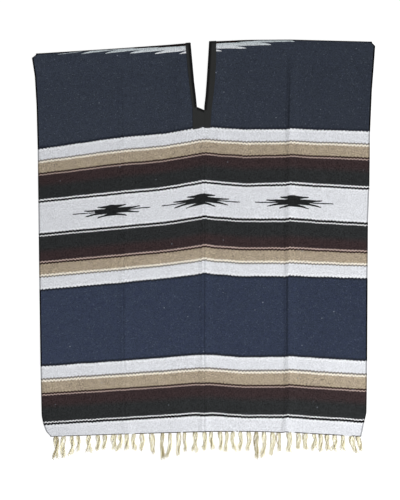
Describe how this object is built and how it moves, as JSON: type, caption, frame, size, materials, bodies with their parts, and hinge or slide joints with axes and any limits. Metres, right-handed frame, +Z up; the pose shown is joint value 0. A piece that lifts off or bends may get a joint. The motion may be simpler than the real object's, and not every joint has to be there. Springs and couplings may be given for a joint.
{
  "type": "poncho",
  "caption": "Striped wool poncho laid flat and folded at the shoulders, with a tape-bound neck slit, a serrated diamond pattern and fringed hems.",
  "frame": {"origin": "on the floor, below the middle of the poncho's bounding box, fringes included", "axes": "+Z up out of the floor that the poncho lies on, +Y from the hem towards the shoulder fold, +X across the cloth to the right as seen from above"},
  "size_m": [0.9584, 1.1727, 0.0114],
  "materials": {
    "woven_wool": "matte, heathered, weft-faced weave in stripes of indigo, white, sand, maroon and black",
    "binding_tape": "matte black twill tape",
    "fringe_yarn": "matte cream yarn, loosely twisted"
  },
  "bodies": {
    "root": {"cloth": "woven_wool", "neck_tape_left": "binding_tape", "neck_tape_right": "binding_tape", "neck_end_front": "binding_tape", "neck_end_back": "binding_tape", "fringe_front": "fringe_yarn", "fringe_back": "fringe_yarn"}
  },
  "joints": []
}
